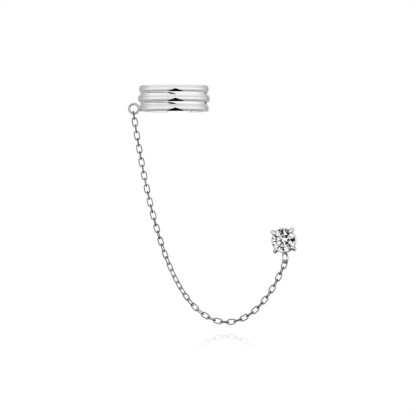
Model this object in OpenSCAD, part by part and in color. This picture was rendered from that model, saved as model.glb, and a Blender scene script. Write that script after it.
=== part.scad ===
// Ear chain earring: a ribbed ear cuff and a four-prong stud, joined by a fine cable chain.
// Millimetres, +Z up, as it hangs when worn. The stone faces -Y and the ear lobe is on the +Y side.
// The origin is on the post's axis, at the back of the base plate, which lies against the lobe.

/* [Ear cuff] */
// Diameter of the hole that the rim of the ear goes through
cuff_bore_d = 10.2; // [8:0.1:14]
// Wall between the bore and the bottom of the grooves
groove_wall = 0.65; // [0.4:0.01:0.9]
// Width of each rib
rib_w = 1.2; // [1:0.01:1.4]
// Distance between the middle lines of neighbouring ribs
rib_pitch = 1.62; // [1.45:0.01:1.9]
// Height of the middle rib above the grooves
middle_rib_rise = 0.42; // [0.3:0.01:0.55]
// Height of the two outer ribs above the grooves
outer_rib_rise = 0.23; // [0.15:0.01:0.45]
// Radius of the rounded edges of the bore
bore_edge_r = 0.07; // [0.04:0.01:0.15]
// Width of the opening at the back
cuff_gap_w = 3; // [2:0.1:5]
// Radius of the rounded corners beside the opening
cuff_corner_r = 0.8; // [0.4:0.05:1]
// Sideways distance from the stud to the middle of the cuff
cuff_offset = 18.78; // [14:0.01:24]
// Height of the cuff's middle above the stud
cuff_height = 24.12; // [18:0.01:32]

/* [Eye ring on the cuff] */
// Outer diameter of the eye ring
eye_outer_d = 2.02; // [1.8:0.01:2.6]
// Wire diameter of the eye ring
eye_wire_d = 0.38; // [0.3:0.01:0.4]
// Depth that the eye ring is let into the rib
eye_sink = 0.06; // [0.04:0.01:0.2]
// Distance from the rib's middle line down to the middle of the eye ring
eye_drop = 0.06; // [0:0.01:0.2]
// Diameter of the solder where it starts on the eye ring's wire
eye_solder_start_d = 0.46; // [0.42:0.01:0.56]
// Radius of the solder where it meets the rib
eye_solder_r = 0.42; // [0.3:0.01:0.5]
// How far round the eye ring from its lowest point the first link hangs
eye_hang_angle = 3; // [0:1:5]

/* [Chain] */
// Number of links
link_count = 49; // [45:1:60]
// Overall length of a link
link_length = 1.68; // [1.6:0.01:1.9]
// Overall width of a link
link_width = 1.03; // [0.95:0.01:1.2]
// Wire diameter of a link
link_wire_d = 0.2; // [0.16:0.01:0.22]
// Play between each two links, and between an end link and its ring
link_play = 0.12; // [0.11:0.01:0.16]
// Turn of the first link out of the plane of the hanging chain
first_link_turn = 90; // [85:1:95]
// Twist of the chain between its two ends
chain_twist = 75; // [50:1:80]
// Where the twist starts, as a share of the links
twist_start = 0.25; // [0:0.01:0.4]
// Where the twist ends, as a share of the links
twist_end = 0.8; // [0.6:0.01:1]

/* [Stone] */
// Diameter of the stone
stone_d = 4; // [3:0.1:5]
// Width of the table across its corners, as a share of the stone's diameter
table_share = 0.57; // [0.5:0.01:0.65]
// Slope of the bezel facets
crown_angle = 34.5; // [30:0.5:38]
// Slope of the pavilion's main facets
pavilion_angle = 41; // [38:0.5:43]
// Reach of the star facets from the table's edge towards the girdle, as a share
star_share = 0.5; // [0.4:0.01:0.6]
// Reach of the lower girdle facets from the girdle towards the culet, as a share
lower_share = 0.78; // [0.7:0.01:0.85]
// Girdle that is left where the facets are turned down to the stone's diameter, as a share
girdle_share = 0.04; // [0.02:0.005:0.06]

/* [Stud setting] */
// Height of the stone's girdle above the back of the base plate
girdle_height = 2.35; // [2.1:0.05:2.8]
// Diameter of the base plate
base_d = 2.9; // [2.4:0.1:3.4]
// Thickness of the base plate
base_thickness = 0.35; // [0.3:0.01:0.5]
// Wire diameter of the four prongs
prong_d = 0.54; // [0.45:0.01:0.58]
// Diameter of the claws that the prongs end in
claw_d = 0.7; // [0.6:0.01:0.7]
// Distance from the stone's edge to the middle of a prong, at the girdle
prong_offset = 0.34; // [0.28:0.01:0.4]
// Height of a claw's first centre above the girdle
claw_rise = 0.16; // [0.1:0.01:0.2]
// Distance that a claw reaches in over the stone, from its edge to the claw's last centre
claw_reach = 0.1; // [0.1:0.01:0.35]
// Height of the gallery rail above the back of the base plate
rail_height = 1.6; // [1.2:0.05:1.8]
// Wire diameter of the gallery rail
rail_wire_d = 0.4; // [0.3:0.01:0.5]
// Gap between the stone and the metal round it
stone_gap = 0.04; // [0.03:0.01:0.08]
// Turn of the four prongs about the post
prong_turn = 7.3; // [-45:0.1:45]
// Diameter of the post
post_d = 0.8; // [0.7:0.01:1]
// Length of the post behind the base plate
post_length = 10; // [8:0.1:12]
// Height of the tapered tip of the post
post_tip_h = 0.4; // [0.2:0.05:0.8]
// Diameter of the blunt end of the tip
post_tip_d = 0.4; // [0.3:0.01:0.6]
// Distance from the end of the tip to the middle of the groove that a clutch back snaps into
post_groove_inset = 2.4; // [1.5:0.1:4]
// Radius of the groove's round section
post_groove_r = 0.2; // [0.1:0.01:0.3]
// Depth of the groove
post_groove_depth = 0.08; // [0.05:0.01:0.12]

/* [Ring on the stud] */
// Outer diameter of the stud's ring
loop_outer_d = 2.06; // [1.8:0.01:2.6]
// Wire diameter of the stud's ring
loop_wire_d = 0.38; // [0.3:0.01:0.4]
// Angle of the ring to one side of straight down from the post
loop_lean = 4; // [0:0.5:10]
// Turn of the ring away from facing forwards
loop_turn = 66; // [45:1:90]
// How far round the ring from its lowest point the last link hangs
loop_hang_angle = 12; // [0:1:20]

/* [Hidden] */
$fn = 48;
// Length by which a cutter or a joined piece runs past the face that it meets
overrun = 0.5;
// Length by which the arc at a corner of the opening runs past the cuff's edge, so that the two cross
corner_overrun = 0.08;
// Search for the shape of the hanging chain: its limits and its number of halvings
search_low = 0.01;
search_high = 8;
search_steps = 50;
silver = [0.80, 0.80, 0.82];
bright_silver = [0.86, 0.86, 0.88];
clear_stone = [0.72, 0.82, 0.90];

// Cuff: radii from its own axis, and its half height
bore_r = cuff_bore_d / 2;
groove_r = bore_r + groove_wall;
outer_rib_r = groove_r + outer_rib_rise;
middle_rib_r = groove_r + middle_rib_rise;
cuff_half_h = rib_pitch + rib_w / 2;
// Radius of the arc across a rib, which takes an outer rib down to the grooves at its full width
rib_arc_r = (rib_w ^ 2 / 4 + outer_rib_rise ^ 2) / (2 * outer_rib_rise);

// Stud: everything is measured from the post's axis and from the back of the base plate
stone_r = stone_d / 2;
prong_top_r = stone_r + prong_offset;
prong_foot_r = base_d / 2 - prong_d / 2;
prong_foot_z = base_thickness / 2;
prong_slope = (prong_top_r - prong_foot_r) / (girdle_height - prong_foot_z);
rail_r = prong_foot_r + prong_slope * (rail_height - prong_foot_z);

// Stone: uncut radius, table and crown, with heights measured from the middle of the girdle
uncut_r = stone_r * (1 + girdle_share);
table_r = stone_r * table_share;
half_facet = 22.5;
crown_h = (uncut_r - table_r) * tan(crown_angle);
pavilion_h = uncut_r * tan(pavilion_angle);
star_r = table_r * cos(half_facet) * (1 - star_share) + stone_r * star_share;
star_h = crown_h * (uncut_r - star_r * cos(half_facet)) / (uncut_r - table_r);
lower_r = stone_r * (1 - lower_share);
lower_h = pavilion_h * (1 - lower_r * cos(half_facet) / uncut_r);

// Ring on the stud: its centre, and the directions down and across its own plane
loop_r = (loop_outer_d - loop_wire_d) / 2;
loop_reach = rail_r + rail_wire_d / 2 + loop_r;
loop_down = [sin(loop_lean), 0, -cos(loop_lean)];
loop_across = [cos(loop_turn) * cos(loop_lean), sin(loop_turn), cos(loop_turn) * sin(loop_lean)];
loop_centre = [0, -rail_height, 0] + loop_reach * loop_down;

// Where the end links hang: the middle of the wire of the eye ring and of the stud's ring
loop_hang_dir = cos(loop_hang_angle) * loop_down - sin(loop_hang_angle) * loop_across;
loop_wire = loop_centre + loop_r * loop_hang_dir;
chain_y = loop_wire[1];
eye_r = (eye_outer_d - eye_wire_d) / 2;
eye_x = -cuff_offset - outer_rib_r + eye_sink - eye_outer_d / 2;
eye_centre = [eye_x, chain_y, cuff_height - rib_pitch - eye_drop];
eye_wire = eye_centre - eye_r * [sin(eye_hang_angle), 0, cos(eye_hang_angle)];

link_pitch = link_length - 2 * link_wire_d - link_play;
chain_length = link_count * link_pitch;

function sinh(t) = (exp(t) - exp(-t)) / 2;
function asinh(t) = ln(t + sqrt(t * t + 1));
function atanh(t) = ln((1 + t) / (1 - t)) / 2;

// Halves the interval until sinh(t) / t equals the ratio
function catenary_root(ratio, low, high, steps) =
    let (middle = (low + high) / 2)
    steps == 0 ? middle
    : sinh(middle) / middle < ratio ? catenary_root(ratio, middle, high, steps - 1)
    : catenary_root(ratio, low, middle, steps - 1);

// Radius of a catenary of the chain's length at its lowest point, and where that point is between its ends
function sag_radius(from, to) =
    let (run = to[0] - from[0], ratio = sqrt(chain_length ^ 2 - (to[2] - from[2]) ^ 2) / run)
    run / (2 * catenary_root(ratio, search_low, search_high, search_steps));
function lowest_x(from, to) =
    (from[0] + to[0]) / 2 - sag_radius(from, to) * atanh((to[2] - from[2]) / chain_length);
function direction(from, to, x) =
    let (slope = sinh((x - lowest_x(from, to)) / sag_radius(from, to)))
    [1, 0, slope] / norm([1, 0, slope]);

// The chain's ends lie in the middle of the play, inside each ring and in line with the end link
eye_joint = eye_wire
    - (eye_wire_d + link_play) / 2 * direction(eye_wire, loop_wire, eye_wire[0]);
loop_joint = loop_wire
    + (loop_wire_d + link_play) / 2 * direction(eye_wire, loop_wire, loop_wire[0]);
sag_r = sag_radius(eye_joint, loop_joint);
sag_x = lowest_x(eye_joint, loop_joint);
eye_arc = sag_r * sinh((eye_joint[0] - sag_x) / sag_r);
sag_z = eye_joint[2] + sag_r - sqrt(sag_r ^ 2 + eye_arc ^ 2);

// Place and slope of the chain at an arc length from its lowest point
function chain_point(arc) = [
    sag_x + sag_r * asinh(arc / sag_r),
    chain_y,
    sag_z + sqrt(sag_r ^ 2 + arc ^ 2) - sag_r
];
function chain_slope(arc) = atan(arc / sag_r);

// Share of the twist that is taken up at a share of the links, with a smooth start and end
function twist_share(share) =
    let (t = min(max((share - twist_start) / (twist_end - twist_start), 0), 1))
    t * t * (3 - 2 * t);
function link_turn(i) = first_link_turn + 90 * i + chain_twist * twist_share(i / (link_count - 1));

module torus(ring_r, wire_d) {
    rotate_extrude() translate([ring_r, 0]) circle(d = wire_d);
}

// Turns a shape that stands on the XY plane so that its own +Z looks out from the ear
module facing_out() {
    rotate([90, 0, 0]) children();
}

module on_cuff_axis() {
    translate([-cuff_offset, chain_y, cuff_height]) children();
}

module rib_arc(rise) {
    translate([groove_r + rise - rib_arc_r, 0]) circle(rib_arc_r);
}

// Section of the middle rib: the same arc as the outer ribs, set higher on upright shoulders
module middle_rib() {
    intersection() {
        rib_arc(middle_rib_rise);
        translate([bore_r, -rib_w / 2]) square([middle_rib_r, rib_w]);
    }
}

// What is cut away to round one edge of the bore
module bore_edge() {
    difference() {
        translate([-overrun, -bore_edge_r]) square([overrun + bore_edge_r, overrun + bore_edge_r]);
        translate([bore_edge_r, -bore_edge_r]) circle(bore_edge_r);
    }
}

// Half section of the cuff: a band with three ribs, cut off flat above and below
module cuff_section() {
    difference() {
        intersection() {
            union() {
                translate([bore_r, -cuff_half_h]) square([groove_wall, 2 * cuff_half_h]);
                middle_rib();
                for (side = [-1, 1]) translate([0, side * rib_pitch]) rib_arc(outer_rib_rise);
            }
            translate([bore_r, -cuff_half_h]) square([middle_rib_r, 2 * cuff_half_h]);
        }
        for (end = [0, 1]) mirror([0, end]) translate([bore_r, cuff_half_h]) bore_edge();
    }
}

// What is cut away at one corner of the opening
module cuff_corner() {
    arc_z = cuff_half_h + corner_overrun - cuff_corner_r;
    difference() {
        translate([0, arc_z]) square([cuff_corner_r, cuff_corner_r + overrun]);
        translate([cuff_corner_r, arc_z]) circle(cuff_corner_r);
    }
}

module cuff_opening() {
    rotate([-90, 0, 0]) linear_extrude(middle_rib_r + overrun) {
        square([cuff_gap_w, 2 * (cuff_half_h + overrun)], center = true);
        for (side = [0, 1]) mirror([side, 0]) for (end = [0, 1]) mirror([0, end])
            translate([cuff_gap_w / 2, 0]) cuff_corner();
    }
}

module ear_cuff() {
    color(silver) {
        on_cuff_axis() difference() {
            rotate_extrude() cuff_section();
            cuff_opening();
        }
        translate(eye_centre) facing_out() torus(eye_r, eye_wire_d);
        translate(eye_centre + [eye_r, 0, 0]) rotate([0, 90, 0])
            cylinder(h = eye_solder_r, d1 = eye_solder_start_d, r2 = eye_solder_r);
    }
}

// One oval link in the XZ plane, with its length along X
module link() {
    bend_r = (link_width - link_wire_d) / 2;
    straight = link_length - link_width;
    facing_out() for (end = [-1, 1]) {
        translate([end * straight / 2, 0, 0]) rotate([0, 0, -90 * end])
            rotate_extrude(angle = 180) translate([bend_r, 0]) circle(d = link_wire_d);
        translate([-straight / 2, end * bend_r, 0]) rotate([0, 90, 0])
            cylinder(h = straight, d = link_wire_d);
    }
}

module chain() {
    color(bright_silver) for (i = [0:link_count - 1]) {
        arc = eye_arc + (i + 0.5) * link_pitch;
        translate(chain_point(arc)) rotate([link_turn(i), -chain_slope(arc), 0]) link();
    }
}

// A round bar with two round ends, along +Z from the middle of its first end
module capsule(length, d) {
    rotate_extrude() intersection() {
        union() {
            circle(d = d);
            translate([0, length]) circle(d = d);
            translate([-d / 2, 0]) square([d, length]);
        }
        translate([0, -d]) square([d, length + 2 * d]);
    }
}

// A straight prong from the base plate to the girdle, with a claw that leans in over the stone's edge
module prong() {
    elbow_z = girdle_height + claw_rise;
    rise = elbow_z - prong_foot_z;
    run = prong_top_r - prong_foot_r;
    translate([prong_foot_r, 0, prong_foot_z]) rotate([0, atan2(run, rise), 0])
        cylinder(h = norm([run, rise]), d = prong_d);
    translate([prong_top_r, 0, elbow_z]) rotate([0, crown_angle - 90, 0])
        capsule((prong_offset + claw_reach) / cos(crown_angle), claw_d);
}

// The room that the stone takes: its outline at the corners of its facets, and the gap to the metal
module stone_seat() {
    seat_r = stone_r + stone_gap;
    translate([0, 0, girdle_height]) rotate_extrude() intersection() {
        polygon([
            [0, -pavilion_h - stone_gap],
            [lower_r + stone_gap, -lower_h - stone_gap],
            [uncut_r + stone_gap, -stone_gap],
            [uncut_r + stone_gap, stone_gap],
            [star_r + stone_gap, star_h + stone_gap],
            [table_r + stone_gap, crown_h + stone_gap],
            [0, crown_h + stone_gap],
        ]);
        translate([0, -pavilion_h - overrun]) square([seat_r, pavilion_h + crown_h + 2 * overrun]);
    }
}

module post() {
    difference() {
        union() {
            translate([0, 0, post_tip_h - post_length])
                cylinder(h = post_length - post_tip_h + base_thickness / 2, d = post_d);
            translate([0, 0, -post_length]) cylinder(h = post_tip_h, d1 = post_tip_d, d2 = post_d);
        }
        translate([0, 0, post_groove_inset - post_length])
            torus(post_d / 2 + post_groove_r - post_groove_depth, 2 * post_groove_r);
    }
}

module stud_setting() {
    color(silver) {
        facing_out() {
            cylinder(h = base_thickness, d = base_d);
            post();
            difference() {
                union() {
                    for (i = [0:3]) rotate([0, 0, prong_turn + 45 + 90 * i]) prong();
                    translate([0, 0, rail_height]) torus(rail_r, rail_wire_d);
                }
                stone_seat();
            }
        }
        translate(loop_centre) rotate([0, -loop_lean, 0]) rotate([0, 0, loop_turn])
            facing_out() torus(loop_r, loop_wire_d);
    }
}

// Corners of the facets, with the middle of the girdle at height 0
function facet_ring(count, radius, height, start) =
    [for (k = [0:count - 1]) [
        radius * cos(start + 360 * k / count),
        radius * sin(start + 360 * k / count),
        height
    ]];

// A round brilliant: table, star, bezel and upper girdle facets, then lower girdle and main facets
module uncut_brilliant() {
    corners = concat(
        facet_ring(8, table_r, crown_h, 0),
        facet_ring(8, star_r, star_h, half_facet),
        facet_ring(16, uncut_r, 0, 0),
        facet_ring(8, lower_r, -lower_h, half_facet),
        [[0, 0, -pavilion_h]]
    );
    star = 8;
    girdle = 16;
    lower = 32;
    culet = 40;
    table_face = [[for (k = [7:-1:0]) k]];
    side_faces = [for (k = [0:7]) let (next = (k + 1) % 8, before = (k + 7) % 8, g = girdle + 2 * k)
        each [
            [k, next, star + k],
            [k, star + k, g, star + before],
            [star + k, g + 1, g],
            [star + k, girdle + 2 * next, g + 1],
            [lower + k, g, g + 1],
            [lower + k, g + 1, girdle + 2 * next],
            [culet, lower + before, g, lower + k]
        ]];
    polyhedron(corners, concat(table_face, side_faces));
}

module stone() {
    color(clear_stone) facing_out() translate([0, 0, girdle_height]) rotate([0, 0, prong_turn])
        intersection() {
            uncut_brilliant();
            translate([0, 0, -pavilion_h - overrun])
                cylinder(h = pavilion_h + crown_h + 2 * overrun, r = stone_r);
        }
}

ear_cuff();
chain();
stud_setting();
stone();
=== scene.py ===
"""Ear chain earring: polished silver ear cuff, fine cable chain and a four-prong stud with a clear stone."""
import math

import bmesh
import bpy
import numpy as np
from mathutils import Matrix, Vector


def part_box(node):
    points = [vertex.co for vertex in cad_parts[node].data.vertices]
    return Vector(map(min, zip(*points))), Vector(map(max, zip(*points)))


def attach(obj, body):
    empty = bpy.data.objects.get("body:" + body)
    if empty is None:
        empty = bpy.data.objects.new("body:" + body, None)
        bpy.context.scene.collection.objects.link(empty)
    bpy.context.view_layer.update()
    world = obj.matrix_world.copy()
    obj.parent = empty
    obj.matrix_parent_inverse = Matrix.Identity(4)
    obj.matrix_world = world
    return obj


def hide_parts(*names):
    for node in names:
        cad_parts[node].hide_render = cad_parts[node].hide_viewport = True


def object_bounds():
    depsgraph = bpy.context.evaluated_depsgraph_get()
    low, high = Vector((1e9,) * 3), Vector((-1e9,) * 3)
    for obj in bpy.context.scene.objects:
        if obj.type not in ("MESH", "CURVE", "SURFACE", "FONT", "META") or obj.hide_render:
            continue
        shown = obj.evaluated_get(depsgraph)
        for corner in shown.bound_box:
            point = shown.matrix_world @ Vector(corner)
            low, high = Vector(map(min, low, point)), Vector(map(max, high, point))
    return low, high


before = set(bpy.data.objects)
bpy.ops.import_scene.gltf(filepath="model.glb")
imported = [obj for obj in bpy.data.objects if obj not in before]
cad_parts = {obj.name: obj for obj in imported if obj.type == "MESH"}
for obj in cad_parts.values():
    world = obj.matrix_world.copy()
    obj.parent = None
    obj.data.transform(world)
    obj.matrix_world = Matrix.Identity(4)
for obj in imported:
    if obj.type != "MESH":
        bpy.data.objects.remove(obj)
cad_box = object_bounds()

MM = 0.001

# Camera: the photo looks slightly from the stone's right and from above, and is 70.7 mm wide at the stone
CAMERA_AZIMUTH = math.radians(6)
CAMERA_ELEVATION = math.radians(1)
CAMERA_LENS = 200
CAMERA_CLIP_START = 0.01
CAMERA_CLIP_END = 10
SENSOR_WIDTH = 36
PICTURE_WIDTH = 70.7 * MM
PICTURE_CENTRE_RIGHT = -12.89 * MM
PICTURE_CENTRE_UP = 5.51 * MM

# Directions: level ones seen from the camera, and the axes of the frame
FRONT = Vector((math.sin(CAMERA_AZIMUTH), -math.cos(CAMERA_AZIMUTH), 0))
RIGHT = Vector((math.cos(CAMERA_AZIMUTH), math.sin(CAMERA_AZIMUTH), 0))
SIDEWAYS = Vector((1, 0, 0))
AWAY = Vector((0, 1, 0))
UP = Vector((0, 0, 1))

# The floor lies just below the lowest link, and mirrors less and less away from the middle of the chain
FLOOR_GAP = 0.75 * MM
FLOOR_RADIUS = 3
FLOOR_CORNERS = 96
FLOOR_LIGHT = 1.015
FLOOR_GLOSS = 0.22
FLOOR_FADE_CENTRE = Vector((-11.5, 0, 0)) * MM
FLOOR_FADE_START = 12 * MM
FLOOR_FADE_END = 50 * MM

# Cuff, as in the part's source: radii from its own axis, heights from its middle
CHAIN_DEPTH = -1.75955
CUFF_AXIS = Vector((-18.78, CHAIN_DEPTH, 24.12)) * MM
BORE_R = 5.1 * MM
GROOVE_WALL = 0.65 * MM
GROOVE_R = BORE_R + GROOVE_WALL
MIDDLE_RIB_RISE = 0.42 * MM
OUTER_RIB_RISE = 0.23 * MM
RIB_HALF_W = 0.6 * MM
RIB_PITCH = 1.62 * MM
RIB_ARC_R = (RIB_HALF_W ** 2 + OUTER_RIB_RISE ** 2) / (2 * OUTER_RIB_RISE)
CUFF_HALF_H = RIB_PITCH + RIB_HALF_W
CUFF_GAP_HALF = 1.5 * MM
CUFF_CORNER_R = 0.8 * MM
CUFF_CORNER_OVERRUN = 0.08 * MM
BORE_EDGE_R = 0.07 * MM
OUTER_EDGE_R = 0.12 * MM
SHOULDER_EDGE_R = 0.05 * MM
END_EDGE_R = 0.07 * MM
# Half the angle of the shallow arc across the bottom of a groove
GROOVE_DISH = math.radians(1)

# Steps of the cuff's mesh: across a rib, an edge, a groove and the bore, along an end, and round the axis
RIB_STEPS = 28
EDGE_STEPS = 7
GROOVE_STEPS = 10
BORE_STEPS = 12
END_EDGE_STEPS = 5
CORNER_STEPS = 14
ROUND_STEPS = 250
# A corner's steps lie closer together towards the opening by this power
CORNER_BUNCHING = 1.5
# Angle between the corners beside the opening and the first of the even steps round the axis
ROUND_MARGIN = 0.02
# Edges of the cuff at this angle or more stay crisp
CRISP_ANGLE = math.radians(35)

# Eye ring, and its solder, a cone that flares onto the lower rib
EYE_CENTRE = Vector((-25.71, CHAIN_DEPTH, 22.44)) * MM
EYE_RING_R = 0.82 * MM
EYE_WIRE_R = 0.19 * MM
EYE_STEPS = 96
EYE_SIDES = 28
# The eye's darker silver, painted shade, ends this many radii of its wire right of the ring's middle line
# and above it
EYE_END_RIGHT = 0.5
EYE_END_UP = 1.1
SOLDER_LENGTH = 0.5 * MM
SOLDER_LAP = 0.1 * MM
SOLDER_START_R = 0.2 * MM
SOLDER_END_R = 0.44 * MM
SOLDER_FLARE = 1.8
SOLDER_STEPS = 16
SOLDER_SIDES = 32

# Links: steps of a bend, sides of the wire, places along a straight side, and the wire's waist at the joint
LINK_BEND_STEPS = 20
LINK_SIDES = 14
LINK_SIDE_SHARES = [0.3, 0.42, 0.5, 0.58, 0.7]
LINK_JOINT_SHARE = 0.5
LINK_JOINT_WAIST = 0.93
# Corners of the CAD links are the same point where they agree to this many decimals of a millimetre
MERGE_DECIMALS = 5

# Radius of the stud's post
POST_R = 0.4 * MM


def mesh_piece(name, points, faces, material):
    """An object from points and faces of closed shapes, smooth all over, with its faces turned outwards."""
    mesh = bpy.data.meshes.new(name)
    mesh.from_pydata([tuple(p) for p in points], [], [tuple(f) for f in faces])
    shape = bmesh.new()
    shape.from_mesh(mesh)
    bmesh.ops.recalc_face_normals(shape, faces=shape.faces)
    if shape.calc_volume(signed=True) < 0:
        bmesh.ops.reverse_faces(shape, faces=shape.faces)
    shape.to_mesh(mesh)
    shape.free()
    mesh.polygons.foreach_set("use_smooth", [True] * len(mesh.polygons))
    mesh.materials.append(material)
    mesh.update()
    piece = bpy.data.objects.new(name, mesh)
    bpy.context.scene.collection.objects.link(piece)
    return piece


def grid_faces(rows, columns, rows_closed, columns_closed):
    """Quads between points numbered row by row."""
    faces = []
    for i in range(rows if rows_closed else rows - 1):
        for j in range(columns if columns_closed else columns - 1):
            a, b = i, (i + 1) % rows
            c, d = j, (j + 1) % columns
            faces.append((a * columns + c, b * columns + c, b * columns + d, a * columns + d))
    return faces


def sweep(path, radii, sides, across, closed):
    """Points and faces of a round bar along a path, with two directions square to it from across(i)."""
    points = []
    for i, (centre, radius) in enumerate(zip(path, radii)):
        first, second = across(i)
        for k in range(sides):
            angle = 2 * math.pi * k / sides
            points.append(centre + (first * math.cos(angle) + second * math.sin(angle)) * radius)
    faces = grid_faces(len(path), sides, closed, True)
    if not closed:
        faces.append(tuple(reversed(range(sides))))
        faces.append(tuple(range((len(path) - 1) * sides, len(path) * sides)))
    return points, faces


def fuse(base, tools):
    """Joins each tool to the base, and deletes the tools."""
    for tool in tools:
        modifier = base.modifiers.new("fuse", "BOOLEAN")
        modifier.operation = "UNION"
        modifier.solver = "MANIFOLD"
        modifier.object = tool
    depsgraph = bpy.context.evaluated_depsgraph_get()
    fused = bpy.data.meshes.new_from_object(base.evaluated_get(depsgraph))
    base.modifiers.clear()
    base.data = fused
    for tool in tools:
        bpy.data.objects.remove(tool)


def soften(piece, angle):
    """Smooth shading with the edges sharper than the angle kept crisp."""
    piece.data.polygons.foreach_set("use_smooth", [True] * len(piece.data.polygons))
    piece.data.set_sharp_from_angle(angle=angle)


def arc(centre, radius, start, end, steps):
    """Points of an arc, with angle 0 along the first axis."""
    points = []
    for k in range(steps + 1):
        angle = start + (end - start) * k / steps
        points.append((centre[0] + radius * math.cos(angle), centre[1] + radius * math.sin(angle)))
    return points


def rib_face(centre, start, edge_height, edge_r):
    """A rib's arc from a start angle on, and the rounded edge by which it turns into a flat face above."""
    inner_r = RIB_ARC_R - edge_r
    rise = edge_height - edge_r - centre[1]
    turn = math.asin(rise / inner_r)
    edge_centre = (centre[0] + inner_r * math.cos(turn), centre[1] + rise)
    face = arc(centre, RIB_ARC_R, start, turn, RIB_STEPS)
    return face + arc(edge_centre, edge_r, turn, math.pi / 2, EDGE_STEPS)[1:]


def cuff_half_section():
    """Upper half of the cuff's section as (radius, height), from the middle rib over the top to the bore."""
    middle_centre = (GROOVE_R + MIDDLE_RIB_RISE - RIB_ARC_R, 0)
    half = rib_face(middle_centre, 0, RIB_HALF_W, SHOULDER_EDGE_R)
    dish_half = RIB_PITCH / 2 - RIB_HALF_W
    dish_r = dish_half / math.sin(GROOVE_DISH)
    dish_centre = (GROOVE_R + dish_r * math.cos(GROOVE_DISH), RIB_PITCH / 2)
    half += arc(dish_centre, dish_r, math.pi + GROOVE_DISH, math.pi - GROOVE_DISH, GROOVE_STEPS)[:-1]
    outer_centre = (GROOVE_R + OUTER_RIB_RISE - RIB_ARC_R, RIB_PITCH)
    half += rib_face(outer_centre, -math.asin(RIB_HALF_W / RIB_ARC_R), CUFF_HALF_H, OUTER_EDGE_R)
    bore_centre = (BORE_R + BORE_EDGE_R, CUFF_HALF_H - BORE_EDGE_R)
    return half + arc(bore_centre, BORE_EDGE_R, math.pi / 2, math.pi, EDGE_STEPS)


def cuff_section(limit, inset):
    """Whole section of the cuff, cut off at a height above and below, and drawn in all round by an inset."""
    middle_r = (BORE_R + GROOVE_R) / 2
    narrow = 1 - inset / (GROOVE_R - middle_r)
    half = [(middle_r + (r - middle_r) * narrow, min(h, limit - inset)) for r, h in cuff_half_section()]
    bore_r, top = half[-1]
    bore = [(bore_r, top * (1 - 2 * k / BORE_STEPS)) for k in range(1, BORE_STEPS)]
    return half + bore + [(r, -h) for r, h in reversed(half[1:])]


def opening_end(side):
    """Sections of the cuff beside the opening, from its face on, each in one plane parallel to that face."""
    corner_height = CUFF_HALF_H + CUFF_CORNER_OVERRUN - CUFF_CORNER_R
    steps = []
    for k in range(END_EDGE_STEPS + 1):
        angle = math.pi / 2 * k / END_EDGE_STEPS
        steps.append((END_EDGE_R * (1 - math.cos(angle)), END_EDGE_R * (1 - math.sin(angle))))
    for k in range(1, CORNER_STEPS + 1):
        share = (k / CORNER_STEPS) ** CORNER_BUNCHING
        steps.append((END_EDGE_R + (CUFF_CORNER_R - END_EDGE_R) * share, 0.0))
    sections = []
    for step, inset in steps:
        reach = max(CUFF_CORNER_R ** 2 - (CUFF_CORNER_R - step) ** 2, 0.0)
        section = cuff_section(min(CUFF_HALF_H, corner_height + math.sqrt(reach)), inset)
        sections.append([(r, h, side * math.asin((CUFF_GAP_HALF + step) / r)) for r, h in section])
    return sections


def cuff_band():
    """The open band, swept round its axis from one side of the opening to the other."""
    sections = opening_end(1)
    start = math.asin((CUFF_GAP_HALF + CUFF_CORNER_R) / BORE_R) + ROUND_MARGIN
    whole = cuff_section(CUFF_HALF_H, 0.0)
    for k in range(ROUND_STEPS + 1):
        angle = start + (2 * math.pi - 2 * start) * k / ROUND_STEPS
        sections.append([(r, h, angle) for r, h in whole])
    sections += reversed(opening_end(-1))
    points = []
    for section in sections:
        for radius, height, angle in section:
            points.append(CUFF_AXIS + Vector((radius * math.sin(angle), radius * math.cos(angle), height)))
    count = len(whole)
    faces = grid_faces(len(sections), count, False, True)
    faces.append(tuple(reversed(range(count))))
    faces.append(tuple(range(len(points) - count, len(points))))
    return points, [tuple(reversed(f)) for f in faces]


def eye_ring():
    """Points and faces of the eye ring, a round ring of round wire that faces front."""
    first = AWAY.orthogonal().normalized()
    second = AWAY.cross(first)
    spokes = []
    for k in range(EYE_STEPS):
        angle = 2 * math.pi * k / EYE_STEPS
        spokes.append(first * math.cos(angle) + second * math.sin(angle))
    path = [EYE_CENTRE + spoke * EYE_RING_R for spoke in spokes]
    return sweep(path, [EYE_WIRE_R] * EYE_STEPS, EYE_SIDES, lambda i: (AWAY, spokes[i]), True)


def eye_solder():
    """The solder between the eye ring and the lower rib, which flares onto the rib."""
    path, radii = [], []
    for k in range(SOLDER_STEPS + 1):
        share = k / SOLDER_STEPS
        path.append(EYE_CENTRE + SIDEWAYS * (EYE_RING_R - SOLDER_LAP + SOLDER_LENGTH * share))
        radii.append(SOLDER_START_R + (SOLDER_END_R - SOLDER_START_R) * share ** SOLDER_FLARE)
    return sweep(path, radii, SOLDER_SIDES, lambda i: (AWAY, UP), False)


def ear_cuff(material, shaded_eye_material):
    """The cuff with its eye ring soldered on. The ring's faces get a darker copy of the silver, painted
    shade.
    """
    piece = mesh_piece("cuff", *cuff_band(), material)
    eye = mesh_piece("eye", *eye_ring(), material)
    solder = mesh_piece("solder", *eye_solder(), material)
    fuse(piece, [eye, solder])
    piece.data.materials.clear()
    piece.data.materials.append(material)
    piece.data.materials.append(shaded_eye_material)
    right_end = EYE_CENTRE.x + EYE_RING_R + EYE_WIRE_R * EYE_END_RIGHT
    upper_end = EYE_CENTRE.z + EYE_RING_R + EYE_WIRE_R * EYE_END_UP
    for face in piece.data.polygons:
        on_eye = face.center.x < right_end and face.center.z < upper_end
        face.material_index = 1 if on_eye else 0
    soften(piece, CRISP_ANGLE)
    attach(piece, "root")
    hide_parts("ear_cuff")


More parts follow.
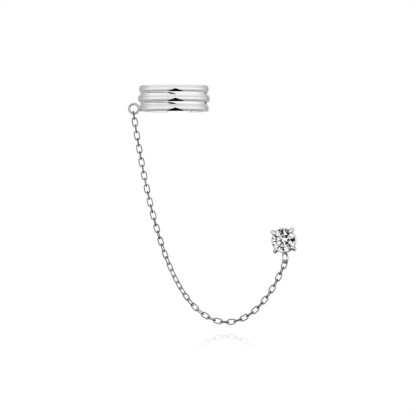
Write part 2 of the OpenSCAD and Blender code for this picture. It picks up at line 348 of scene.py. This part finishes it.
def loose_parts(mesh):
    """The vertices of each loose part of a mesh, as arrays of positions. Edges pass the lowest label on."""
    count = len(mesh.vertices)
    positions = np.zeros(count * 3)
    mesh.vertices.foreach_get("co", positions)
    positions = positions.reshape(-1, 3)
    edges = np.zeros(len(mesh.edges) * 2, int)
    mesh.edges.foreach_get("vertices", edges)
    merged = np.unique(np.round(positions / MM, MERGE_DECIMALS), axis=0, return_inverse=True)[1].reshape(-1)
    edges = merged[edges].reshape(-1, 2)
    label = np.arange(merged.max() + 1)
    while True:
        lowest = np.minimum(label[edges[:, 0]], label[edges[:, 1]])
        lowered = label.copy()
        np.minimum.at(lowered, edges[:, 0], lowest)
        np.minimum.at(lowered, edges[:, 1], lowest)
        lowered = lowered[lowered]
        if (lowered == label).all():
            break
        label = lowered
    of_vertex = label[merged]
    return [positions[of_vertex == part] for part in np.unique(of_vertex)]


def link_shape(length, width, wire_d):
    """An oval link of round wire along X, with its closed joint in the middle of one side."""
    bend_r = (width - wire_d) / 2
    straight = length - width
    path, outward = [], []
    for end in (1, -1):
        for k in range(LINK_BEND_STEPS + 1):
            angle = math.pi * (k / LINK_BEND_STEPS - 0.5)
            spoke = Vector((math.cos(angle) * end, math.sin(angle) * end, 0))
            path.append(Vector((end * straight / 2, 0, 0)) + spoke * bend_r)
            outward.append(spoke)
        for share in LINK_SIDE_SHARES:
            path.append(Vector((end * straight * (0.5 - share), end * bend_r, 0)))
            outward.append(Vector((0, end, 0)))
    radii = [wire_d / 2] * len(path)
    radii[LINK_BEND_STEPS + 1 + LINK_SIDE_SHARES.index(LINK_JOINT_SHARE)] *= LINK_JOINT_WAIST
    return sweep(path, radii, LINK_SIDES, lambda i: (UP, outward[i]), True)


def chain(material):
    """The links of the chain, each laid on its CAD link by that link's own length, width and thickness."""
    points, faces = [], []
    for part in loose_parts(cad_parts["chain"].data):
        middle = part.mean(0)
        axes = np.linalg.svd(part - middle, full_matrices=False)[2]
        local = (part - middle) @ axes.T
        low, high = local.min(0), local.max(0)
        centre = Vector(middle + ((high + low) / 2) @ axes)
        if np.linalg.det(axes) < 0:
            axes[2] = -axes[2]
        turn = Matrix(axes.T.tolist())
        link_points, link_faces = link_shape(*(high - low))
        offset = len(points)
        points += [turn @ p + centre for p in link_points]
        faces += [tuple(i + offset for i in f) for f in link_faces]
    piece = mesh_piece("cable_chain", points, faces, material)
    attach(piece, "root")
    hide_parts("chain")


class Nodes:
    """A node tree with short calls for what the materials and the world need."""

    def __init__(self, owner):
        owner.use_nodes = True
        self.tree = owner.node_tree
        self.tree.nodes.clear()

    def add(self, kind, **settings):
        """A new node with its settings."""
        node = self.tree.nodes.new(kind)
        for name, value in settings.items():
            setattr(node, name, value)
        return node

    def feed(self, socket, value):
        """Links an output to the socket, or sets it to a plain value."""
        if isinstance(value, bpy.types.NodeSocket):
            self.tree.links.new(value, socket)
        else:
            socket.default_value = value

    def math(self, operation, *values, clamp=False):
        node = self.add("ShaderNodeMath", operation=operation, use_clamp=clamp)
        for socket, value in zip(node.inputs, values):
            self.feed(socket, value)
        return node.outputs[0]

    def dot(self, a, b):
        node = self.add("ShaderNodeVectorMath", operation="DOT_PRODUCT")
        self.feed(node.inputs[0], a)
        self.feed(node.inputs[1], b)
        return node.outputs["Value"]

    def ramp(self, value, stops):
        """A grey value that follows stops of (position, tone)."""
        node = self.add("ShaderNodeValToRGB")
        elements = node.color_ramp.elements
        elements.remove(elements[-1])
        for i, (position, tone) in enumerate(stops):
            element = elements[0] if i == 0 else elements.new(position)
            element.position = position
            element.color = (tone, tone, tone, 1)
        self.feed(node.inputs[0], value)
        return node.outputs["Color"]

    def ramp_both_ways(self, value, stops):
        """The same with positions from -1 to 1, moved onto a colour ramp's 0 to 1."""
        moved = [((position + 1) / 2, tone) for position, tone in stops]
        return self.ramp(self.math("MULTIPLY_ADD", value, 0.5, 0.5), moved)

    def distance(self, coords, centre, first, second):
        """How far coords lie from the centre, seen in the plane of two directions."""
        a = self.math("SUBTRACT", self.dot(coords, first), centre.dot(first))
        b = self.math("SUBTRACT", self.dot(coords, second), centre.dot(second))
        return self.math("SQRT", self.math("ADD", self.math("MULTIPLY", a, a), self.math("MULTIPLY", b, b)))

    def noise(self, coords, scale, detail=2.0, roughness=0.5):
        """Smooth noise from 0 to 1, with about scale waves to the metre."""
        node = self.add("ShaderNodeTexNoise")
        self.feed(node.inputs["Vector"], coords)
        self.feed(node.inputs["Scale"], scale)
        self.feed(node.inputs["Detail"], detail)
        self.feed(node.inputs["Roughness"], roughness)
        return node.outputs["Fac"]

    def near(self, value, centre, half_width, softness):
        """One where value is within half_width of the centre, and nought past that and the softness."""
        away = self.math("ABSOLUTE", self.math("SUBTRACT", value, centre))
        inside = self.math("SUBTRACT", half_width, away)
        return self.math("DIVIDE", inside, softness, clamp=True)

    def between(self, value, low, high):
        """Low where value is 0 and high where it is 1."""
        node = self.add("ShaderNodeMapRange")
        self.feed(node.inputs["Value"], value)
        self.feed(node.inputs["To Min"], low)
        self.feed(node.inputs["To Max"], high)
        return node.outputs["Result"]

    def darkened(self, tone, share, depth):
        """The tone, less the depth's part of it where share is 1."""
        return self.math("MULTIPLY", tone, self.math("MULTIPLY_ADD", share, -depth, 1.0))

    def mix(self, factor, a, b):
        """Colour a where the factor is 0 and colour b where it is 1."""
        node = self.add("ShaderNodeMix", data_type="RGBA")
        self.feed(node.inputs["Factor"], factor)
        self.feed(node.inputs["A"], a)
        self.feed(node.inputs["B"], b)
        return node.outputs["Result"]

    def surface(self, shader, kind="ShaderNodeOutputMaterial"):
        self.feed(self.add(kind).inputs["Surface"], shader.outputs[0])


BLACK = (0, 0, 0, 1)
WHITE = (1, 1, 1, 1)

# The room that polished metal mirrors. Each place in it is given by the normal of the metal that mirrors it
# towards the front: by that normal's height, and by its turn to the right, both from -1 to 1.

# Tones by height
STUDIO_TONES = [
    (-1.0, 0.1), (-0.9, 0.3), (-0.8, 0.5), (-0.7, 0.42), (-0.6, 0.34), (-0.5, 0.37),
    (-0.38, 0.45), (-0.28, 0.54), (-0.2, 0.68), (-0.12, 0.9), (-0.05, 1.0), (0.09, 1.0), (0.17, 0.8),
    (0.25, 0.69), (0.33, 0.72), (0.45, 0.84), (0.6, 0.95), (0.72, 0.8), (0.85, 0.4), (1.0, 0.1),
]
# How far they pass into a single grey towards the sides, by turn
SIDE_GREY = 0.46
SIDE_SHARES = [
    (-1.0, 1.0), (-0.9, 0.9), (-0.8, 0.5), (-0.65, 0.0), (0.65, 0.0),
    (0.8, 0.4), (0.9, 0.85), (0.96, 0.9), (0.985, 0.3), (1.0, 0.0),
]
# A black strip that widens downwards from just below the front: half its width by the depth under its top
STRIP_SHIFT = 0.047
STRIP_TOP = -0.002
STRIP_EDGE_SLOPE = 120
STRIP_HALF_WIDTHS = [(0.0, 0.0), (0.01, 0.025), (0.13, 0.07), (0.3, 0.15), (0.46, 0.225), (1.0, 0.25)]
# A thin dark line on the left, which thickens and rises before it ends in front: its heights and half
# widths by turn. A ramp has no values below 0, so the heights are measured from LINE_RISE below the front.
LINE_RISE = 0.1
LINE_SOFTNESS = 0.002
LINE_HEIGHTS = [(-1.0, 0.113), (-0.15, 0.113), (-0.05, 0.121), (0.05, 0.129), (1.0, 0.129)]
LINE_HALF_WIDTHS = [(-1.0, 0.004), (-0.2, 0.005), (-0.12, 0.014), (-0.02, 0.014), (0.09, 0.0), (1.0, 0.0)]
LINE_DEPTH = 0.9
# A greyer stretch under that line: its depths by turn
GREY_DEPTHS = [(-1.0, 0.4), (-0.35, 0.4), (-0.16, 0.0), (1.0, 0.0)]
GREY_HEIGHT = 0.002
GREY_HALF_HEIGHT = 0.01
GREY_SOFTNESS = 0.004
# A dark upright mark at the right, behind the object
MARK_TURN = 0.945
MARK_HALF_WIDTH = 0.035
MARK_HALF_HEIGHT = 0.05
MARK_WIDTH_SOFTNESS = 0.005
MARK_HEIGHT_SOFTNESS = 0.01
MARK_DEPTH = 0.9
# Straight behind the object, between two cosines, the tones pass into these, by the direction's height
BACK_TONES = [(-1.0, 0.9), (-0.1, 0.9), (0.0, 1.0), (1.0, 1.0)]
BACK_START = 0.985
BACK_FULL = 0.995
# Limits that keep divisions away from 0
LEAST_SQUARE = 0.0001
LEAST_LEVEL = 0.01
# Dark patches in the white room that shows through the stone: steps right and up from the front, half angles
STONE_PATCHES = [
    (0.14, 0.1, 19.5), (-0.7, 0.5, 9), (0.8, -0.3, 10), (0.2, 0.9, 8), (-0.5, -0.8, 8), (0.9, 0.5, 7),
]
STONE_PATCH_EDGE = 0.01
# Painted shade: a grey line round the stone's rim. Tones of the stone, by the distance from its axis as a
# share of its radius
STONE_PAINTED_RIM_SHADE = [(0.0, 1.0), (0.92, 1.0), (0.96, 0.3), (1.0, 0.3)]


def metal_tones(n, direction):
    """Tones of the soft room that metal mirrors, in each direction."""
    front = n.dot(direction, FRONT)
    up = n.dot(direction, UP)
    # The normal lies halfway between the direction and the front: their sum, divided by its own length
    size = n.math("SQRT", n.math("MAXIMUM", n.math("MULTIPLY_ADD", front, 2.0, 2.0), LEAST_SQUARE))
    height = n.math("DIVIDE", up, size)
    level = n.math("SQRT", n.math("SUBTRACT", 1.0, n.math("MULTIPLY", height, height), clamp=True))
    right = n.math("DIVIDE", n.dot(direction, RIGHT), size)
    turn = n.math("DIVIDE", right, n.math("MAXIMUM", level, LEAST_LEVEL))

    tone = n.ramp_both_ways(height, STUDIO_TONES)
    tone = n.between(n.ramp_both_ways(turn, SIDE_SHARES), tone, SIDE_GREY)

    strip_half_width = n.ramp(n.math("SUBTRACT", STRIP_TOP, height), STRIP_HALF_WIDTHS)
    off_strip = n.math("ABSOLUTE", n.math("SUBTRACT", turn, STRIP_SHIFT))
    past_strip = n.math("MULTIPLY", n.math("SUBTRACT", off_strip, strip_half_width), STRIP_EDGE_SLOPE)
    tone = n.math("MULTIPLY", tone, n.math("ADD", past_strip, 1.0, clamp=True))

    line = n.near(n.math("ADD", height, LINE_RISE), n.ramp_both_ways(turn, LINE_HEIGHTS),
                  n.ramp_both_ways(turn, LINE_HALF_WIDTHS), LINE_SOFTNESS)
    tone = n.darkened(tone, line, LINE_DEPTH)

    grey = n.near(height, GREY_HEIGHT, GREY_HALF_HEIGHT, GREY_SOFTNESS)
    tone = n.darkened(tone, n.math("MULTIPLY", grey, n.ramp_both_ways(turn, GREY_DEPTHS)), 1.0)

    mark = n.math("MULTIPLY", n.near(height, 0.0, MARK_HALF_HEIGHT, MARK_HEIGHT_SOFTNESS),
                  n.near(turn, MARK_TURN, MARK_HALF_WIDTH, MARK_WIDTH_SOFTNESS))
    tone = n.darkened(tone, mark, MARK_DEPTH)

    past_back = n.math("SUBTRACT", n.math("MULTIPLY", front, -1.0), BACK_START)
    back = n.math("DIVIDE", past_back, BACK_FULL - BACK_START, clamp=True)
    return n.mix(back, tone, n.ramp_both_ways(up, BACK_TONES))


def stone_tones(n, direction):
    """Tones of the room that shows through the stone: white with a few dark patches."""
    tone = 1.0
    for right, rise, angle in STONE_PATCHES:
        toward_patch = n.dot(direction, (FRONT + RIGHT * right + UP * rise).normalized())
        past_patch = n.math("SUBTRACT", math.cos(math.radians(angle)), toward_patch)
        tone = n.math("MULTIPLY", tone, n.math("DIVIDE", past_patch, STONE_PATCH_EDGE, clamp=True))
    return tone


def studio():
    """White behind the object, a soft room for what metal mirrors, and another for what the stone shows."""
    world = bpy.data.worlds.new("studio")
    bpy.context.scene.world = world
    n = Nodes(world)
    direction = n.add("ShaderNodeTexCoord").outputs["Generated"]
    path = n.add("ShaderNodeLightPath")
    # The floor's sharp mirror sees white too
    blurred = n.math("SUBTRACT", path.outputs["Is Glossy Ray"], path.outputs["Is Singular Ray"], clamp=True)
    seen = n.mix(blurred, WHITE, metal_tones(n, direction))
    seen = n.mix(path.outputs["Is Transmission Ray"], seen, stone_tones(n, direction))
    background = n.add("ShaderNodeBackground")
    n.feed(background.inputs["Color"], seen)
    n.surface(background, "ShaderNodeOutputWorld")


# Polishing marks, clouds and waves of the silver: how many to the metre, and how strong they are
MARKS_SCALE = 4000
MARKS_SPREAD = 0.4
CLOUDS_SCALE = 700
CLOUDS_START = 0.35
CLOUDS_END = 0.65
WAVES_SCALE = 900
WAVES_STRENGTH = 0.15
WAVES_HEIGHT = 0.01 * MM
# Range of facing over which the painted shade on sideways faces passes into the silver's own tone
PAINTED_SHADE_FADE = 0.3

# The stone, with its clouds and haze
STONE_IOR = 2.17
STONE_GLOSS = 0.1
STONE_CLOUDS_SCALE = 500
STONE_CLOUD_TONES = [(0.3, 0.985), (0.7, 1.0)]
STONE_HAZE_SCALE = 3000
STONE_HAZE_ROUGHNESS = 0.004


def off_stone_axis(n, coords):
    """Distance from the axis through the stone and the post."""
    low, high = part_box("stone")
    return n.distance(coords, (low + high) / 2, SIDEWAYS, UP)


def silver(name, tone, roughness, clouding=0.04, painted_side_shade_tone=None, unshaded_facing=0.97):
    """Polished silver, with clouds in its tone, fine polishing marks and a slightly uneven surface.

    Given a tone for the sides, what faces sideways gets painted shade, darker than what faces front or back,
    but for the stud's post.
    """
    material = bpy.data.materials.new(name)
    n = Nodes(material)
    shader = n.add("ShaderNodeBsdfPrincipled")
    shader.inputs["Metallic"].default_value = 1.0
    coords = n.add("ShaderNodeTexCoord").outputs["Object"]
    marks = n.noise(coords, MARKS_SCALE, detail=4.0, roughness=0.6)
    spread = n.between(marks, roughness * (1 - MARKS_SPREAD), roughness * (1 + MARKS_SPREAD))
    n.feed(shader.inputs["Roughness"], spread)
    clouds = n.noise(coords, CLOUDS_SCALE, detail=3.0)
    colour = n.ramp(clouds, [(CLOUDS_START, tone * (1 - clouding)), (CLOUDS_END, tone)])
    # Painted shade: faces turned sideways, away from front and back, get a darker tone; the stud's post is
    # left unshaded
    if painted_side_shade_tone is not None:
        facing = n.math("ABSOLUTE", n.dot(n.add("ShaderNodeTexCoord").outputs["Normal"], AWAY))
        sides = n.ramp(facing, [(unshaded_facing - PAINTED_SHADE_FADE, painted_side_shade_tone / tone), (unshaded_facing, 1.0)])
        inside_post = n.math("SUBTRACT", 2 * POST_R, off_stone_axis(n, coords))
        on_post = n.math("DIVIDE", inside_post, POST_R, clamp=True)
        colour = n.mix(n.math("MAXIMUM", sides, on_post), BLACK, colour)
    n.feed(shader.inputs["Base Color"], colour)
    bump = n.add("ShaderNodeBump")
    bump.inputs["Strength"].default_value = WAVES_STRENGTH
    bump.inputs["Distance"].default_value = WAVES_HEIGHT
    n.feed(bump.inputs["Height"], n.noise(coords, WAVES_SCALE, detail=1.0))
    n.feed(shader.inputs["Normal"], bump.outputs[0])
    n.surface(shader)
    return material


def clear_stone():
    """Clear cut stone, with the faintest clouds in it and a grey line of painted shade round its rim."""
    material = bpy.data.materials.new("clear_stone")
    n = Nodes(material)
    shader = n.add("ShaderNodeBsdfPrincipled")
    shader.inputs["IOR"].default_value = STONE_IOR
    shader.inputs["Transmission Weight"].default_value = 1.0
    shader.inputs["Specular Tint"].default_value = (STONE_GLOSS, STONE_GLOSS, STONE_GLOSS, 1)
    coords = n.add("ShaderNodeTexCoord").outputs["Object"]
    low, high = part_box("stone")
    rim_share = n.math("DIVIDE", off_stone_axis(n, coords), (high.x - low.x) / 2)
    clouds = n.ramp(n.noise(coords, STONE_CLOUDS_SCALE), STONE_CLOUD_TONES)
    colour = n.mix(n.ramp(rim_share, STONE_PAINTED_RIM_SHADE), BLACK, clouds)
    n.feed(shader.inputs["Base Color"], colour)
    haze = n.noise(coords, STONE_HAZE_SCALE)
    n.feed(shader.inputs["Roughness"], n.between(haze, 0.0, STONE_HAZE_ROUGHNESS))
    n.surface(shader)
    return material


def floor():
    """White floor, which mirrors faintly close under the chain."""
    bpy.ops.mesh.primitive_circle_add(vertices=FLOOR_CORNERS, radius=FLOOR_RADIUS, fill_type="NGON",
                                      location=(0, 0, cad_box[0].z - FLOOR_GAP))
    piece = bpy.context.active_object
    piece.name = "floor"
    piece.visible_glossy = False
    piece.visible_transmission = False
    material = bpy.data.materials.new("floor")
    n = Nodes(material)
    coords = n.add("ShaderNodeTexCoord").outputs["Object"]
    distance = n.distance(coords, FLOOR_FADE_CENTRE, SIDEWAYS, AWAY)
    before_end = n.math("SUBTRACT", FLOOR_FADE_END, distance)
    fade = n.math("DIVIDE", before_end, FLOOR_FADE_END - FLOOR_FADE_START, clamp=True)
    mirror = n.math("MULTIPLY", fade, FLOOR_GLOSS)
    light = n.add("ShaderNodeEmission")
    n.feed(light.inputs["Strength"], n.math("SUBTRACT", FLOOR_LIGHT, mirror))
    gloss = n.add("ShaderNodeBsdfGlossy")
    gloss.inputs["Roughness"].default_value = 0.0
    n.feed(gloss.inputs["Color"], mirror)
    both = n.add("ShaderNodeAddShader")
    n.feed(both.inputs[0], light.outputs[0])
    n.feed(both.inputs[1], gloss.outputs[0])
    n.surface(both)
    piece.data.materials.append(material)


def camera():
    """The camera at the photo's angle, far enough away that the picture has its width at the stone."""
    toward = FRONT * math.cos(CAMERA_ELEVATION) + UP * math.sin(CAMERA_ELEVATION)
    up = (UP - toward * UP.dot(toward)).normalized()
    low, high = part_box("stone")
    centre = (low + high) / 2 + RIGHT * PICTURE_CENTRE_RIGHT + up * PICTURE_CENTRE_UP
    data = bpy.data.cameras.new("camera")
    data.lens = CAMERA_LENS
    data.sensor_width = SENSOR_WIDTH
    data.clip_start = CAMERA_CLIP_START
    data.clip_end = CAMERA_CLIP_END
    piece = bpy.data.objects.new("camera", data)
    bpy.context.scene.collection.objects.link(piece)
    piece.location = centre + toward * (PICTURE_WIDTH * CAMERA_LENS / SENSOR_WIDTH)
    piece.rotation_mode = "QUATERNION"
    piece.rotation_quaternion = toward.to_track_quat("Z", "Y")
    bpy.context.scene.camera = piece


def dress(node, material, smooth):
    """Gives a CAD node its material, with smooth shading or flat facets."""
    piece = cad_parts[node]
    piece.data.polygons.foreach_set("use_smooth", [smooth] * len(piece.data.polygons))
    for slot in piece.material_slots:
        slot.material = material


bpy.context.scene.view_settings.view_transform = "Standard"
camera()
studio()
floor()
# The eye ring's silver is a darker copy of the cuff's, painted shade, with painted shade on its sideways
# faces too
ear_cuff(silver("polished_silver", tone=0.96, roughness=0.03),
         silver("shaded_eye_silver", tone=0.78, roughness=0.05, painted_side_shade_tone=0.22))
# The chain's silver is a darker copy, painted shade standing in for dimmer light on the chain
chain(silver("chain_silver", tone=0.38, roughness=0.08, clouding=0.5))
# The setting's silver has painted shade on its sideways faces, giving the claws and rim dark outlines
dress("stud_setting", silver("setting_silver", tone=1.0, roughness=0.05, painted_side_shade_tone=0.24, unshaded_facing=0.8),
      smooth=True)
dress("stone", clear_stone(), smooth=False)
